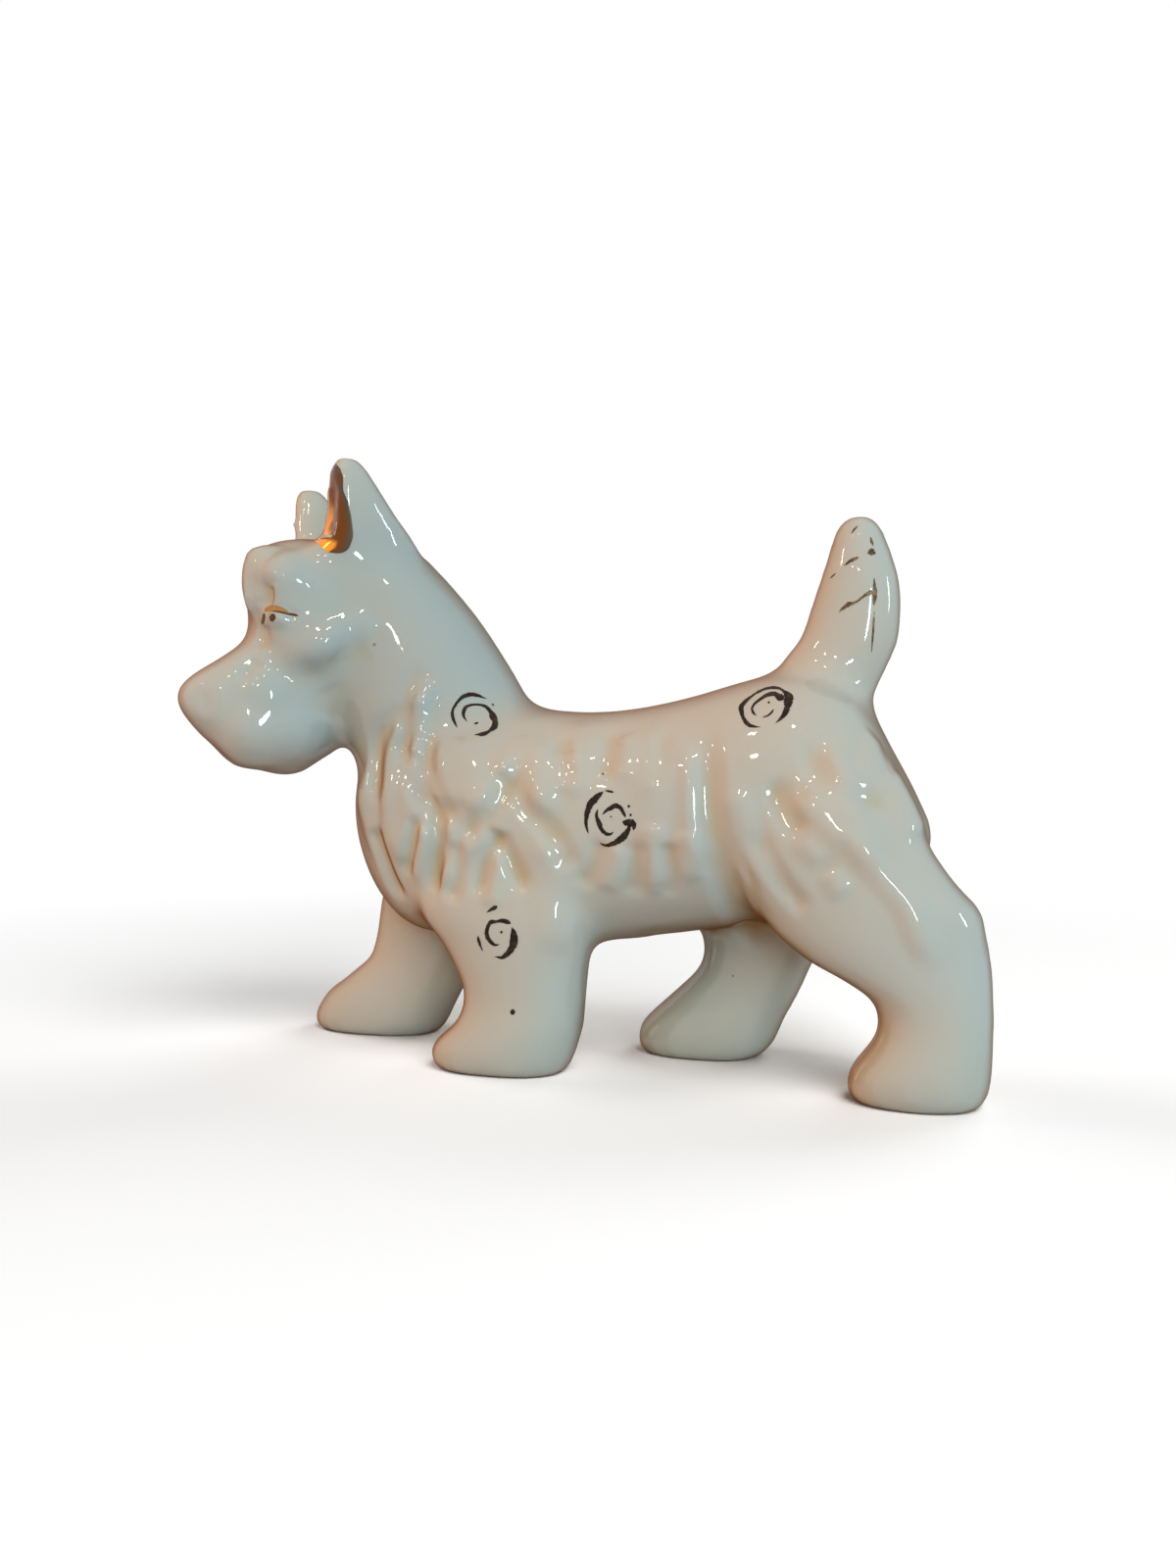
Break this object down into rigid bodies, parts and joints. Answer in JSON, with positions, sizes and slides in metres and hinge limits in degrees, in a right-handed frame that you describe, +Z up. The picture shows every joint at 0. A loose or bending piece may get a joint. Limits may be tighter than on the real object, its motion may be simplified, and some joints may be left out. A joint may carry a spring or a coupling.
{
  "type": "porcelain terrier dog ornament",
  "caption": "Hollow glazed porcelain terrier standing on four flat soles, head turned to its left, pricked ears lined with gold lustre and dark swirl stamps on its coat.",
  "frame": {"origin": "under the middle of the dog, at the height of its soles", "axes": "-X is the way the dog walks, -Y is its left side, +Z is up"},
  "size_m": [0.0968, 0.0291, 0.0731],
  "materials": {
    "porcelain": "clear gloss glaze over a warm white body, tinted amber where it pools",
    "slip": "fired white slip, wiped back under the glaze",
    "lustre": "bright reddish gold lustre, burnished by the glaze below it",
    "paint": "dark brown over-glaze brush paint, slightly glossy",
    "stamp": "worn dark brown over-glaze stamp, satin",
    "worn_lustre": "rubbed brown-gold lustre strokes"
  },
  "bodies": {
    "root": {"trunk": "porcelain", "head": "porcelain", "ear_left": "porcelain", "ear_right": "porcelain", "tail": "porcelain", "leg_front_left": "porcelain", "leg_front_right": "porcelain", "leg_hind_left": "porcelain", "leg_hind_right": "porcelain", "slip_neck": "slip", "slip_ear_left": "slip", "slip_ear_right": "slip", "slip_tail": "slip", "slip_front_left": "slip", "slip_front_right": "slip", "slip_hind_left": "slip", "slip_hind_right": "slip", "ear_gilding_left": "lustre", "ear_gilding_right": "lustre", "eye_paint_left": "paint", "eye_paint_right": "paint", "stamp_shoulder_left": "stamp", "stamp_barrel_left": "stamp", "stamp_rump_left": "stamp", "stamp_foreleg_left": "stamp", "stamp_shoulder_right": "stamp", "stamp_barrel_right": "stamp", "stamp_rump_right": "stamp", "stamp_foreleg_right": "stamp", "tail_gilding": "worn_lustre"}
  },
  "joints": []
}
